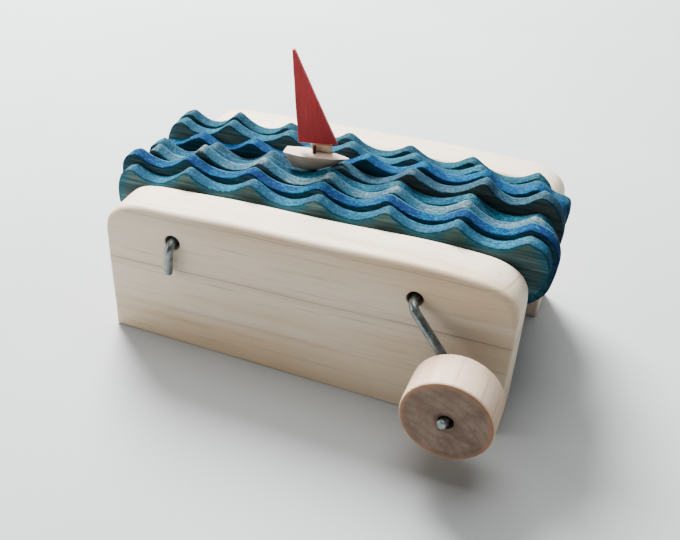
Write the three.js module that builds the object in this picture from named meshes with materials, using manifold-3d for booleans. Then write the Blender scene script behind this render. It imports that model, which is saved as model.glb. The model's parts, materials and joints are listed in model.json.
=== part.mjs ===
// Crank-driven toy boat on moving wooden waves.
// Two loaf-shaped end plates stand on a hidden base board. Between them hang eight
// scroll-cut wave boards, threaded on two bent-wire cranks. Turning the knob moves
// every board round a small circle, each one a little later than the board before.
// Millimetres, +X along the length, -Y towards the knob, +Z up.
import * as THREE from 'three';
import { mergeVertices } from 'three/addons/utils/BufferGeometryUtils.js';
import Module from 'manifold-3d';

const wasm = await Module();
wasm.setup();

// ---- driving dimensions ----------------------------------------------------
const plateLength = 100;
const plateThick = 12;
const plateEdgeRounding = 1.2;
const plateTopPoints = 46;
// The loaf-shaped top of an end plate from its left side to its right, as [along, up].
const plateTop = [[-50, 29], [-49.3, 32.6], [-46.2, 35.7], [-41.4, 37.2], [-33, 37.8], [-17.4, 38.7], [0, 39.35],
  [19.5, 40.2], [28, 40.4], [36, 40.3], [42.6, 39.8], [47.2, 37.9], [49.5, 34.6], [50, 30]];

const boardCount = 8;
const boardThick = 3.7;
const boardPitch = 4.3;
const boardSideGap = 0.75;
const crestSharpness = 0.42;
const pointsPerWave = 12;
const endPoints = 20;
const boardHole = 6;

const wireDiameter = 2.2;
const crankThrow = 2.0;
const phaseStep = THREE.MathUtils.degToRad(36);
const firstPhase = THREE.MathUtils.degToRad(100);
const rampLength = 2.6;
const plateHole = 4.2;
const wireBackStub = 3;
const bendReach = 2.4;

const idleAxis = new THREE.Vector2(-31.9, 29.9);
const driveAxis = new THREE.Vector2(27.4, 31.8);
const idleTailLength = 7.9;
const idleTailLean = 0.7;
const idleTailClear = 0.5;

const knobDiameter = 20.4;
const knobLength = 10.3;
const knobStandOff = 9.1;
const knobChamfer = 0.9;
const knobBore = 3.7;
const armSide = 13.9;
const armDrop = 13.9;
const armLift = 2.4;
const armEndInKnob = 2.2;
const tipProud = 1.7;
const tipBend = 1.2;
const tipLean = new THREE.Vector2(-0.6, 0.7);

const gap = 0.3;
const baseLength = 78;
const baseHeight = 9.5;
const dowelDiameter = 5;
const dowelInPlate = 7.5;
const dowelInBase = 10;
const dowelSpacing = 52;
const dowelHeight = 4.8;

const boatBoard = 5;
const boatX = -8.3;
const deckLevel = 43.6;
const hullLength = 16.5;
const hullBeam = 5.3;
const hullDepth = 4.2;
const hullClearance = 0.35;
const hullYaw = THREE.MathUtils.degToRad(4);
const bowPower = 2.6;
const keelRise = 0.95;
const sternBeam = 0.52;
const bowEdge = 0.14;
const bottomBeam = 0.46;
const sternRake = 2.3;
const bowRake = 0.8;
const sailHeight = 23.6;
const sailFoot = 9.8;
const sailThick = 1.2;
const sailAhead = 0.1;
const sailBack = 1.3;
const sailTip = 0.6;
const sailLean = -1.2;
const sailYaw = THREE.MathUtils.degToRad(8.5);
const sailBlock = new THREE.Vector3(5, 1.6, 1.8);
const blockAhead = 0.7;
const blockBack = 1.75;
const boatPinDiameter = 0.9;
const boatPinDepth = 3.5;
const boatPinPlace = new THREE.Vector2(-0.7, 0.2);

// Each board was cut by hand. Its crests as [along, up], the depth of its troughs, then
// the outline of its left and right ends from the last crest down to the lower corner.
const boards = [
  {
    depth: 3.1,
    crests: [[-50.3, 40], [-34.7, 42.3], [-17.7, 42.6], [-1, 42.1], [16, 42.8], [32, 42.9], [48.2, 42.6]],
    left: [[-52.1, 39.1], [-53.4, 37], [-54.1, 34.4], [-54.3, 31.8], [-53.9, 29.4], [-51.5, 25.5], [-46.5, 22]],
    right: [[50.4, 41.8], [52.1, 40.5], [53.1, 38.4], [53.5, 35.6], [52.7, 32.2], [50.6, 28.6], [45.5, 22.4]],
  },
  {
    depth: 2.9,
    crests: [[-51.3, 42.2], [-36.7, 43.5], [-19.6, 43.1], [-2, 42.9], [14.8, 43.3], [32.6, 43.4], [47.9, 43.5]],
    left: [[-53.3, 41.2], [-54.7, 39.4], [-55.2, 37.2], [-55.3, 34.6], [-54.8, 30], [-51, 24.5], [-46, 21.8]],
    right: [[50.6, 42.7], [52.7, 41.2], [54.1, 38.8], [54.6, 35.8], [54.2, 32], [52.6, 27], [47, 21.6]],
  },
  {
    depth: 3.4,
    crests: [[-48.4, 41.8], [-35.2, 44.2], [-18.9, 43.9], [-1.5, 43.4], [14.9, 43.3], [31.8, 43.2], [47.7, 42.5]],
    left: [[-49.7, 40.8], [-50.6, 38.8], [-51.2, 35.5], [-51.4, 31], [-50.5, 27], [-46, 22.5]],
    right: [[50, 41.4], [52, 39.5], [53.3, 37.2], [54, 35], [54, 31.5], [52.4, 27], [47, 21.6]],
  },
  {
    depth: 2.7,
    crests: [[-50.3, 41], [-36, 41.7], [-19.8, 42.1], [-3.5, 42.1], [13.8, 42.1], [31.7, 42.6], [47.8, 40.8]],
    left: [[-51.8, 39.9], [-52.6, 37.6], [-52.9, 34], [-52.7, 30], [-50.5, 25.5], [-46, 22]],
    right: [[49.8, 40], [51.3, 38.4], [52.2, 36], [52.6, 33], [52.3, 29.5], [50.8, 26], [46, 21.4]],
  },
  {
    depth: 3.5,
    crests: [[-52.3, 38.9], [-36.5, 40.6], [-20.7, 41.3], [-1.6, 42.1], [16, 44], [34, 45.1], [47.6, 44.5]],
    left: [[-53.6, 37.6], [-54.2, 35.4], [-54.3, 32.5], [-53.8, 29], [-51.5, 25], [-47, 21.5]],
    right: [[49.4, 43.8], [51, 42.4], [52.3, 40.4], [53.1, 38], [53.4, 35.2], [53, 31.8], [51.2, 27.4], [46, 22.5]],
  },
  {
    depth: 2.7,
    crests: [[-42.7, 40.4], [-27.7, 41.6], [-12.2, 42.6], [3.3, 43.3], [17.7, 44.1], [32.8, 44.8], [45.7, 43.9]],
    left: [[-45.3, 39.1], [-47.6, 37.7], [-50, 36.8], [-52.4, 36.5], [-53.8, 35.6], [-54.3, 33], [-53.8, 29],
      [-51, 24.5], [-46.5, 21.5]],
    right: [[47.6, 42.8], [49.6, 41.1], [51.6, 40.3], [52.6, 39], [52.9, 36.8], [52.7, 33], [51, 27.5], [46, 22]],
  },
  {
    depth: 3,
    crests: [[-50.2, 41.3], [-35.9, 43.2], [-19.2, 43.5], [-2.5, 43.4], [14.1, 43.5], [30.6, 43.5], [44.7, 42.2]],
    left: [[-52.4, 40.2], [-53.8, 38], [-54.7, 35.4], [-55.2, 32.5], [-54.6, 29], [-51.5, 24.5], [-47, 21.5]],
    right: [[46.6, 41.6], [49, 40.1], [51.4, 39.6], [52.8, 38.8], [53.2, 36.9], [53, 33.8], [51.4, 28.6], [46, 22]],
  },
  {
    depth: 3.1,
    crests: [[-49.9, 41.9], [-36.1, 43.6], [-21.2, 43.2], [-4.7, 43.4], [11.6, 43.1], [27.7, 43.1], [44.3, 42]],
    left: [[-52.2, 40.8], [-53.6, 39], [-54.4, 36.5], [-54.9, 33], [-54.4, 29.5], [-51.5, 25], [-47, 21.8]],
    right: [[45.8, 40.9], [47.1, 39.3], [48.3, 36.8], [49, 33], [48.7, 28.5], [46.5, 24], [42, 21.8]],
  },
];

// ---- derived places ----------------------------------------------------------
const stackDepth = (boardCount - 1) * boardPitch + boardThick + 2 * boardSideGap;
const innerFront = -stackDepth / 2;
const innerBack = stackDepth / 2;
const outerFront = innerFront - plateThick;
const outerBack = innerBack + plateThick;
const holeSpan = new THREE.Vector2().subVectors(driveAxis, idleAxis);
const stackTilt = Math.atan2(holeSpan.y, holeSpan.x);
const boardFront = (i) => innerFront + boardSideGap + (i - 1) * boardPitch;
const boardMiddle = (i) => boardFront(i) + boardThick / 2;
const boardPhase = (i) => firstPhase + (i - 1) * phaseStep;

// ---- helpers -------------------------------------------------------------------
function tidy(geometry) {
  const plain = geometry.clone();
  plain.deleteAttribute('normal');
  plain.deleteAttribute('uv');
  return mergeVertices(plain, 1e-4);
}

function toManifold(geometry) {
  const merged = tidy(geometry);
  return new wasm.Manifold(new wasm.Mesh({
    numProp: 3,
    vertProperties: new Float32Array(merged.attributes.position.array),
    triVerts: new Uint32Array(merged.index.array),
  }));
}

function fromManifold(solid) {
  const mesh = solid.getMesh();
  const geometry = new THREE.BufferGeometry();
  geometry.setAttribute('position', new THREE.BufferAttribute(new Float32Array(mesh.vertProperties), 3));
  geometry.setIndex(new THREE.BufferAttribute(new Uint32Array(mesh.triVerts), 1));
  return geometry;
}

function cut(geometry, tools) {
  let solid = toManifold(geometry);
  for (const tool of tools) {
    solid = solid.subtract(toManifold(tool));
  }
  return fromManifold(solid);
}

// Extrudes an outline drawn in X and Z from its front face at yFront towards +Y.
function extrudeAlongY(shape, yFront, thick, options = {}) {
  const inset = options.bevel ?? 0;
  const geometry = new THREE.ExtrudeGeometry(shape, {
    depth: thick - 2 * inset,
    curveSegments: options.curveSegments ?? 10,
    bevelEnabled: inset > 0,
    bevelThickness: inset,
    bevelSize: inset,
    bevelOffset: -inset,
    bevelSegments: 3,
  });
  geometry.rotateX(Math.PI / 2);
  geometry.translate(0, yFront + thick - inset, 0);
  return geometry;
}

function rodAlongY(diameter, yFrom, yTo, x, z, sides = 20) {
  const rod = new THREE.CylinderGeometry(diameter / 2, diameter / 2, yTo - yFrom, sides);
  rod.translate(x, (yFrom + yTo) / 2, z);
  return rod;
}

function wireAlong(path, steps) {
  const section = new THREE.Shape();
  section.absarc(0, 0, wireDiameter / 2, 0, 2 * Math.PI, false);
  return new THREE.ExtrudeGeometry(section, {
    steps,
    curveSegments: 6,
    bevelEnabled: false,
    extrudePath: path,
  });
}

const looks = {
  paleWood: { color: '#e3d3bf', roughness: 0.62, metalness: 0 },
  knobWood: { color: '#cfb091', roughness: 0.6, metalness: 0 },
  steel: { color: '#8d979a', roughness: 0.42, metalness: 1 },
  darkSteel: { color: '#4a4038', roughness: 0.5, metalness: 1 },
  redWood: { color: '#b02c33', roughness: 0.55, metalness: 0 },
  blue: { color: '#2f7bb5', roughness: 0.7, metalness: 0 },
  greyBlue: { color: '#6f93a0', roughness: 0.72, metalness: 0 },
  teal: { color: '#3f7f92', roughness: 0.7, metalness: 0 },
};

function piece(name, geometry, look) {
  const clean = tidy(geometry);
  clean.computeVertexNormals();
  const mesh = new THREE.Mesh(clean, new THREE.MeshStandardMaterial(look));
  mesh.name = name;
  return mesh;
}

// ---- end plates, base board and its dowels ----------------------------------------
function plateOutline() {
  const half = plateLength / 2;
  const rows = plateTop.map((row) => new THREE.Vector2(...row)).reverse();
  const top = new THREE.SplineCurve(rows).getPoints(plateTopPoints);
  return new THREE.Shape([new THREE.Vector2(-half, 0), new THREE.Vector2(half, 0), ...top]);
}

function plate(yFront, dowelFrom, dowelTo) {
  const body = extrudeAlongY(plateOutline(), yFront, plateThick, { bevel: plateEdgeRounding });
  const through = [idleAxis, driveAxis].map((axis) =>
    rodAlongY(plateHole, yFront - 1, yFront + plateThick + 1, axis.x, axis.y, 24));
  const blind = [-1, 1].map((side) =>
    rodAlongY(dowelDiameter + 2 * gap, dowelFrom, dowelTo, side * dowelSpacing / 2, dowelHeight));
  return cut(body, [...through, ...blind]);
}

const frame = new THREE.Group();
frame.name = 'frame';
frame.add(piece('front_plate', plate(outerFront, innerFront - dowelInPlate - gap, innerFront + 1), looks.paleWood));
frame.add(piece('back_plate', plate(innerBack, innerBack - 1, innerBack + dowelInPlate + gap), looks.paleWood));

const baseDepth = stackDepth - 2 * gap;
const baseBlock = new THREE.BoxGeometry(baseLength, baseDepth, baseHeight);
baseBlock.translate(0, 0, baseHeight / 2);
const baseSockets = [];
for (const side of [-1, 1]) {
  for (const end of [-1, 1]) {
    const face = end * baseDepth / 2;
    const bottom = face - end * (dowelInBase + gap);
    const [from, to] = [Math.min(face + end, bottom), Math.max(face + end, bottom)];
    baseSockets.push(rodAlongY(dowelDiameter + 2 * gap, from, to, side * dowelSpacing / 2, dowelHeight));
  }
}
frame.add(piece('base_board', cut(baseBlock, baseSockets), looks.paleWood));

const dowelNames = { '-1-1': 'front_left', '-11': 'back_left', '1-1': 'front_right', '11': 'back_right' };
for (const side of [-1, 1]) {
  for (const end of [-1, 1]) {
    const plateFace = end * stackDepth / 2;
    const outer = plateFace + end * dowelInPlate;
    const inner = plateFace - end * (dowelInBase - gap);
    const rod = rodAlongY(dowelDiameter, Math.min(outer, inner), Math.max(outer, inner),
      side * dowelSpacing / 2, dowelHeight);
    frame.add(piece(`base_dowel_${dowelNames[`${side}${end}`]}`, rod, looks.knobWood));
  }
}

// ---- wave boards --------------------------------------------------------------------
// Depth of the hull below its deck, from the stern at 0 to the bow at 1.
function keelDepth(s) {
  return hullDepth * (1 - keelRise * Math.pow(s, bowPower));
}

// Broad round troughs and tighter crests, drawn from the last crest back to the first.
function waveTop(board, carriesBoat) {
  const points = [];
  for (let n = 0; n <= (board.crests.length - 1) * pointsPerWave; n += 1) {
    const from = Math.min(Math.floor(n / pointsPerWave), board.crests.length - 2);
    const angle = 2 * Math.PI * (n / pointsPerWave - from);
    const step = (angle - crestSharpness * Math.sin(angle)) / (2 * Math.PI);
    const crest = new THREE.Vector2(...board.crests[from]);
    crest.lerp(new THREE.Vector2(...board.crests[from + 1]), step);
    crest.y -= board.depth * (1 - Math.cos(angle)) / 2;
    const s = (crest.x - boatX) / hullLength + 0.5;
    if (carriesBoat && s > 0 && s < 1) {
      crest.y = Math.min(crest.y, deckLevel - keelDepth(s) - hullClearance);
    }
    points.push(crest);
  }
  return points.reverse();
}

function endSpline(start, rows) {
  const points = [start, ...rows.map((row) => new THREE.Vector2(...row))];
  return new THREE.SplineCurve(points).getPoints(endPoints);
}

function turned(point, angle, centre) {
  return point.clone().rotateAround(centre, angle);
}

const holeMiddle = new THREE.Vector2().addVectors(driveAxis, idleAxis).multiplyScalar(0.5);

function pinCentre(axis, i) {
  const phase = boardPhase(i);
  return new THREE.Vector2(axis.x + crankThrow * Math.cos(phase), axis.y + crankThrow * Math.sin(phase));
}

function boardOutline(board, carriesBoat) {
  const top = waveTop(board, carriesBoat);
  const right = endSpline(top[0], board.right).reverse();
  const left = endSpline(top[top.length - 1], board.left);
  const local = [...right.slice(0, -1), ...top, ...left.slice(1)];
  return local.map((p) => turned(p, stackTilt, holeMiddle));
}

function waveBoard(board, number) {
  const shape = new THREE.Shape(boardOutline(board, number === boatBoard));
  for (const axis of [idleAxis, driveAxis]) {
    const centre = pinCentre(axis, number);
    const hole = new THREE.Path();
    hole.absarc(centre.x, centre.y, boardHole / 2, 0, 2 * Math.PI, true);
    shape.holes.push(hole);
  }
  return extrudeAlongY(shape, boardFront(number), boardThick, { curveSegments: 12 });
}

const waves = new THREE.Group();
waves.name = 'waves';
const stains = [looks.teal, looks.blue, looks.greyBlue, looks.teal, looks.greyBlue, looks.blue,
  looks.greyBlue, looks.teal];

// ---- boat -------------------------------------------------------------------------------
// The boat is drawn about the middle of its deck, bow towards +X, then set in the trough.
const boatSeat = turned(new THREE.Vector2(boatX, deckLevel), stackTilt, holeMiddle);

function place(geometry, yaw = 0) {
  geometry.rotateZ(hullYaw + yaw);
  geometry.rotateY(-stackTilt);
  geometry.translate(boatSeat.x, boardMiddle(boatBoard), boatSeat.y);
  return geometry;
}

function hullGeometry() {
  const geometry = new THREE.BoxGeometry(1, 2, 1, 22, 8, 5);
  const position = geometry.attributes.position;
  for (let n = 0; n < position.count; n += 1) {
    const s = position.getX(n) + 0.5;
    const across = position.getY(n);
    const down = 0.5 - position.getZ(n);
    const sternRound = Math.pow(Math.min(1, sternBeam + 1.7 * s), 0.8);
    const bowTaper = Math.pow(Math.max(0, 1 - Math.pow(s, bowPower)), 0.8);
    const halfBeam = Math.max(bowEdge, hullBeam / 2 * sternRound * bowTaper);
    const flare = 1 - (1 - bottomBeam) * Math.pow(down, 1.7);
    const x = hullLength * (s - 0.5) + sternRake * down * (1 - s) - bowRake * down * s * s;
    position.setXYZ(n, x, across * halfBeam * flare, -Math.max(bowEdge, keelDepth(s)) * down);
  }
  return geometry;
}

const deckClear = gap;
const pinTop = sailBlock.z + deckClear - 0.1;
const pinLength = pinTop + hullDepth + hullClearance + boatPinDepth;

function boatPin(diameter, extra = 0) {
  const rod = new THREE.CylinderGeometry(diameter / 2, diameter / 2, pinLength + extra, 12);
  rod.rotateX(Math.PI / 2);
  rod.translate(boatPinPlace.x, boatPinPlace.y, pinTop - (pinLength - extra) / 2);
  return rod;
}

function sailGeometry() {
  const shape = new THREE.Shape();
  const aft = sailAhead - sailFoot / 2;
  shape.moveTo(aft, 0);
  shape.lineTo(aft + sailFoot, 0);
  shape.lineTo(aft + sailLean + sailTip, sailHeight);
  shape.lineTo(aft + sailLean, sailHeight);
  const geometry = extrudeAlongY(shape, -sailThick / 2, sailThick);
  geometry.translate(0, sailBack, deckClear + sailBlock.z + gap);
  return geometry;
}

const pinHoleTool = place(boatPin(boatPinDiameter + 2 * gap, 2.5));
const boat = new THREE.Group();
boat.name = 'boat';
boat.add(piece('boat_hull', cut(place(hullGeometry()), [pinHoleTool]), looks.paleWood));
boat.add(piece('boat_pin', place(boatPin(boatPinDiameter)), looks.darkSteel));
boat.add(piece('boat_sail', place(sailGeometry(), sailYaw), looks.redWood));
const block = new THREE.BoxGeometry(sailBlock.x, sailBlock.y, sailBlock.z);
block.translate(blockAhead, blockBack, deckClear + sailBlock.z / 2);
boat.add(piece('sail_block', place(block), looks.knobWood));

boards.forEach((board, index) => {
  const number = index + 1;
  let geometry = waveBoard(board, number);
  if (number === boatBoard) {
    const socket = place(boatPin(boatPinDiameter + 2 * gap, 0.6));
    geometry = cut(geometry, [socket]);
  }
  waves.add(piece(`wave_board_${number}`, geometry, stains[index]));
});

// ---- bent-wire cranks ----------------------------------------------------------------------
function crankPoint(axis, y) {
  const fromFront = Math.max(0, Math.min(1, (y - innerFront) / rampLength));
  const fromBack = Math.max(0, Math.min(1, (innerBack - y) / rampLength));
  const rise = Math.min(fromFront, fromBack);
  const radius = crankThrow * rise * rise * (3 - 2 * rise);
  const boardsPassed = (y - boardMiddle(1)) / boardPitch;
  const phase = boardPhase(1 + Math.max(0, Math.min(boardCount - 1, boardsPassed)));
  return new THREE.Vector3(axis.x + radius * Math.cos(phase), y, axis.y + radius * Math.sin(phase));
}

// A round-cornered path through the given corner points.
function roundedRun(path, corners, reach) {
  let from = corners[0];
  for (let n = 1; n < corners.length - 1; n += 1) {
    const corner = corners[n];
    const before = corner.clone().add(corners[n - 1].clone().sub(corner).setLength(reach));
    const after = corner.clone().add(corners[n + 1].clone().sub(corner).setLength(reach));
    path.add(new THREE.LineCurve3(from, before));
    path.add(new THREE.QuadraticBezierCurve3(before, corner, after));
    from = after;
  }
  path.add(new THREE.LineCurve3(from, corners[corners.length - 1]));
}

function crankWire(axis, frontCorners, steps) {
  const path = new THREE.CurvePath();
  path.add(new THREE.LineCurve3(
    new THREE.Vector3(axis.x, outerBack + wireBackStub, axis.y),
    new THREE.Vector3(axis.x, innerBack, axis.y)));
  const samples = 64;
  const helix = [];
  for (let n = 0; n <= samples; n += 1) {
    helix.push(crankPoint(axis, innerBack + (innerFront - innerBack) * n / samples));
  }
  path.add(new THREE.CatmullRomCurve3(helix));
  roundedRun(path, [helix[helix.length - 1], ...frontCorners], bendReach);
  return wireAlong(path, steps);
}

const tailPlane = outerFront - wireDiameter / 2 - idleTailClear;
const idleWire = crankWire(idleAxis, [
  new THREE.Vector3(idleAxis.x, tailPlane, idleAxis.y),
  new THREE.Vector3(idleAxis.x - idleTailLean, tailPlane, idleAxis.y - idleTailLength),
], 110);

const knobBack = outerFront - knobStandOff;
const knobFront = knobBack - knobLength;
const knobX = driveAxis.x + armSide;
const knobZ = driveAxis.y - armDrop;
const driveWire = crankWire(driveAxis, [
  new THREE.Vector3(driveAxis.x, outerFront - armLift, driveAxis.y),
  new THREE.Vector3(knobX, knobBack + armEndInKnob, knobZ),
  new THREE.Vector3(knobX, knobFront + tipBend, knobZ),
  new THREE.Vector3(knobX + tipLean.x, knobFront - tipProud, knobZ + tipLean.y),
], 150);

const cranks = new THREE.Group();
cranks.name = 'cranks';
cranks.add(piece('idle_crank_wire', idleWire, looks.steel));
cranks.add(piece('drive_crank_wire', driveWire, looks.steel));

function knobGeometry() {
  const [r, c, b] = [knobDiameter / 2, knobChamfer, knobBore / 2];
  const profile = [[b, 0], [r - c, 0], [r - 0.3 * c, 0.3 * c], [r, c], [r, knobLength - c],
    [r - 0.3 * c, knobLength - 0.3 * c], [r - c, knobLength], [b, knobLength], [b, 0]];
  const turnedKnob = new THREE.LatheGeometry(profile.map(([x, y]) => new THREE.Vector2(x, y)), 44);
  turnedKnob.translate(knobX, knobFront, knobZ);
  return turnedKnob;
}

cranks.add(piece('crank_knob', knobGeometry(), looks.knobWood));

const group = new THREE.Group();
group.name = 'toy_boat_on_waves';
group.add(frame, waves, cranks, boat);
export default group;
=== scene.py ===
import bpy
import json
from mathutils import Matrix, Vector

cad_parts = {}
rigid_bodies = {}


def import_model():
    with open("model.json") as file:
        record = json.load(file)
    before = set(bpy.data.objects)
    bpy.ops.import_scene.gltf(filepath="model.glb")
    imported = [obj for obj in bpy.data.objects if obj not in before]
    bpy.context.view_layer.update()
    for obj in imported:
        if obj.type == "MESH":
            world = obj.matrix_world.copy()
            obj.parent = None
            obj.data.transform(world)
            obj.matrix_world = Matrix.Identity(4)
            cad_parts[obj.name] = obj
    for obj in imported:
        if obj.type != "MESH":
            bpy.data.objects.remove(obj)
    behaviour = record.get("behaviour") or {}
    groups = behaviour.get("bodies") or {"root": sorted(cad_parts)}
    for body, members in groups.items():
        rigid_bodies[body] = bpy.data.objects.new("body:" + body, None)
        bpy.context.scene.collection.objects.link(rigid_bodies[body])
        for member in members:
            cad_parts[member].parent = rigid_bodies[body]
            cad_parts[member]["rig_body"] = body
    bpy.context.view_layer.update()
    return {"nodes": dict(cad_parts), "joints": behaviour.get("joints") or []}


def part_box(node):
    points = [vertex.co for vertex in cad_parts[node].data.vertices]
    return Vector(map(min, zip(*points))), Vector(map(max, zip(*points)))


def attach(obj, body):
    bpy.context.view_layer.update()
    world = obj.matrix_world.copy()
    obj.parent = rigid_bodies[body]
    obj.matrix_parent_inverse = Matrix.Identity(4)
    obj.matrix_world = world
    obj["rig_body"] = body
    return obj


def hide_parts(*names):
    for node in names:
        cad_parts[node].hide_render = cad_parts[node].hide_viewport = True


bl_info = {
    "name": "Toy Boat on Wooden Waves",
    "version": (1, 0, 0),
    "blender": (4, 5, 0),
    "location": "View3D > Sidebar > Toy Boat",
    "description": "Builds a crank toy: a small boat on eight stained wave boards between end plates",
    "category": "Add Mesh",
}

import json
import math

import bmesh
import bpy
from bpy.props import FloatProperty, FloatVectorProperty, IntProperty, PointerProperty
from mathutils import Matrix, Vector, noise

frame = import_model()

MM = 0.001
JOINTS = {joint["name"]: joint for joint in frame["joints"]}


def joint_place(name):
    return Vector(JOINTS[name]["pos_m"])


DRIVE_AXIS = joint_place("crank_turn")
IDLE_AXIS = joint_place("idle_turn")
KNOB_AXIS = joint_place("knob_spin")
HOLE_MIDDLE = (DRIVE_AXIS + IDLE_AXIS) / 2
STACK_TILT = math.atan2(DRIVE_AXIS.z - IDLE_AXIS.z, DRIVE_AXIS.x - IDLE_AXIS.x)

# How each board was cut, in mm: the depth of its troughs, its crests as (along, up), then
# the outline of its two ends from the last crest down to the lower corner.
# How it was stained: its face, the sawn edge in the troughs and on the crests, the ink that
# gathers in the pores and is also used as painted shade on the slopes and ends that face right,
# the pale line along the back edge, and how far stain soaked in.
BOARDS = (
    dict(depth=3.1,
         crests=((-50.3, 40), (-34.7, 42.3), (-17.7, 42.6), (-1, 42.1), (16, 42.8), (32, 42.9),
               (48.2, 42.6)),
         left=((-52.1, 39.1), (-53.4, 37), (-54.1, 34.4), (-54.3, 31.8), (-53.9, 29.4),
               (-51.5, 25.5), (-46.5, 22)),
         right=((50.4, 41.8), (52.1, 40.5), (53.1, 38.4), (53.5, 35.6), (52.7, 32.2),
               (50.6, 28.6), (45.5, 22.4)),
         face=(0.062, 0.112, 0.118), trough=(0.014, 0.105, 0.155), crest_top=(0.045, 0.105, 0.105),
         ink_and_shade=(0.010, 0.040, 0.075), back_line=0.0, soak=0.95),
    dict(depth=2.9,
         crests=((-51.3, 42.2), (-36.7, 43.5), (-19.6, 43.1), (-2, 42.9), (14.8, 43.3),
               (32.6, 43.4), (47.9, 43.5)),
         left=((-53.3, 41.2), (-54.7, 39.4), (-55.2, 37.2), (-55.3, 34.6), (-54.8, 30),
               (-51, 24.5), (-46, 21.8)),
         right=((50.6, 42.7), (52.7, 41.2), (54.1, 38.8), (54.6, 35.8), (54.2, 32), (52.6, 27),
               (47, 21.6)),
         face=(0.030, 0.072, 0.080), trough=(0.002, 0.078, 0.130), crest_top=(0.005, 0.050, 0.075),
         ink_and_shade=(0.004, 0.018, 0.070), back_line=0.7, soak=0.50),
    dict(depth=3.4,
         crests=((-48.4, 41.8), (-35.2, 44.2), (-18.9, 43.9), (-1.5, 43.4), (14.9, 43.3),
               (31.8, 43.2), (47.7, 42.5)),
         left=((-49.7, 40.8), (-50.6, 38.8), (-51.2, 35.5), (-51.4, 31), (-50.5, 27), (-46, 22.5)),
         right=((50, 41.4), (52, 39.5), (53.3, 37.2), (54, 35), (54, 31.5), (52.4, 27), (47, 21.6)),
         face=(0.022, 0.050, 0.054), trough=(0.085, 0.130, 0.138), crest_top=(0.200, 0.215, 0.180),
         ink_and_shade=(0.010, 0.050, 0.085), back_line=0.3, soak=0.25),
    dict(depth=2.7,
         crests=((-50.3, 41), (-36, 41.7), (-19.8, 42.1), (-3.5, 42.1), (13.8, 42.1),
               (31.7, 42.6), (47.8, 40.8)),
         left=((-51.8, 39.9), (-52.6, 37.6), (-52.9, 34), (-52.7, 30), (-50.5, 25.5), (-46, 22)),
         right=((49.8, 40), (51.3, 38.4), (52.2, 36), (52.6, 33), (52.3, 29.5), (50.8, 26),
               (46, 21.4)),
         face=(0.012, 0.040, 0.048), trough=(0.005, 0.065, 0.090), crest_top=(0.035, 0.117, 0.120),
         ink_and_shade=(0.005, 0.024, 0.050), back_line=0.2, soak=0.25),
    dict(depth=3.5,
         crests=((-52.3, 38.9), (-36.5, 40.6), (-20.7, 41.3), (-1.6, 42.1), (16, 44), (34, 45.1),
               (47.6, 44.5)),
         left=((-53.6, 37.6), (-54.2, 35.4), (-54.3, 32.5), (-53.8, 29), (-51.5, 25), (-47, 21.5)),
         right=((49.4, 43.8), (51, 42.4), (52.3, 40.4), (53.1, 38), (53.4, 35.2), (53, 31.8),
               (51.2, 27.4), (46, 22.5)),
         face=(0.044, 0.060, 0.054), trough=(0.024, 0.062, 0.082), crest_top=(0.065, 0.105, 0.105),
         ink_and_shade=(0.010, 0.030, 0.050), back_line=0.3, soak=0.20),
    dict(depth=2.7,
         crests=((-42.7, 40.4), (-27.7, 41.6), (-12.2, 42.6), (3.3, 43.3), (17.7, 44.1),
               (32.8, 44.8), (45.7, 43.9)),
         left=((-45.3, 39.1), (-47.6, 37.7), (-50, 36.8), (-52.4, 36.5), (-53.8, 35.6),
               (-54.3, 33), (-53.8, 29), (-51, 24.5), (-46.5, 21.5)),
         right=((47.6, 42.8), (49.6, 41.1), (51.6, 40.3), (52.6, 39), (52.9, 36.8), (52.7, 33),
               (51, 27.5), (46, 22)),
         face=(0.010, 0.040, 0.056), trough=(0.002, 0.074, 0.135), crest_top=(0.008, 0.070, 0.100),
         ink_and_shade=(0.004, 0.024, 0.080), back_line=0.1, soak=0.40),
    dict(depth=3,
         crests=((-50.2, 41.3), (-35.9, 43.2), (-19.2, 43.5), (-2.5, 43.4), (14.1, 43.5),
               (30.6, 43.5), (44.7, 42.2)),
         left=((-52.4, 40.2), (-53.8, 38), (-54.7, 35.4), (-55.2, 32.5), (-54.6, 29),
               (-51.5, 24.5), (-47, 21.5)),
         right=((46.6, 41.6), (49, 40.1), (51.4, 39.6), (52.8, 38.8), (53.2, 36.9), (53, 33.8),
               (51.4, 28.6), (46, 22)),
         face=(0.062, 0.108, 0.104), trough=(0.014, 0.095, 0.135), crest_top=(0.035, 0.086, 0.091),
         ink_and_shade=(0.010, 0.040, 0.070), back_line=0.2, soak=0.60),
    dict(depth=3.1,
         crests=((-49.9, 41.9), (-36.1, 43.6), (-21.2, 43.2), (-4.7, 43.4), (11.6, 43.1),
               (27.7, 43.1), (44.3, 42)),
         left=((-52.2, 40.8), (-53.6, 39), (-54.4, 36.5), (-54.9, 33), (-54.4, 29.5),
               (-51.5, 25), (-47, 21.8)),
         right=((45.8, 40.9), (47.1, 39.3), (48.3, 36.8), (49, 33), (48.7, 28.5), (46.5, 24),
               (42, 21.8)),
         face=(0.030, 0.072, 0.078), trough=(0.010, 0.070, 0.095), crest_top=(0.023, 0.069, 0.067),
         ink_and_shade=(0.008, 0.030, 0.050), back_line=0.1, soak=0.60),
)
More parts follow.
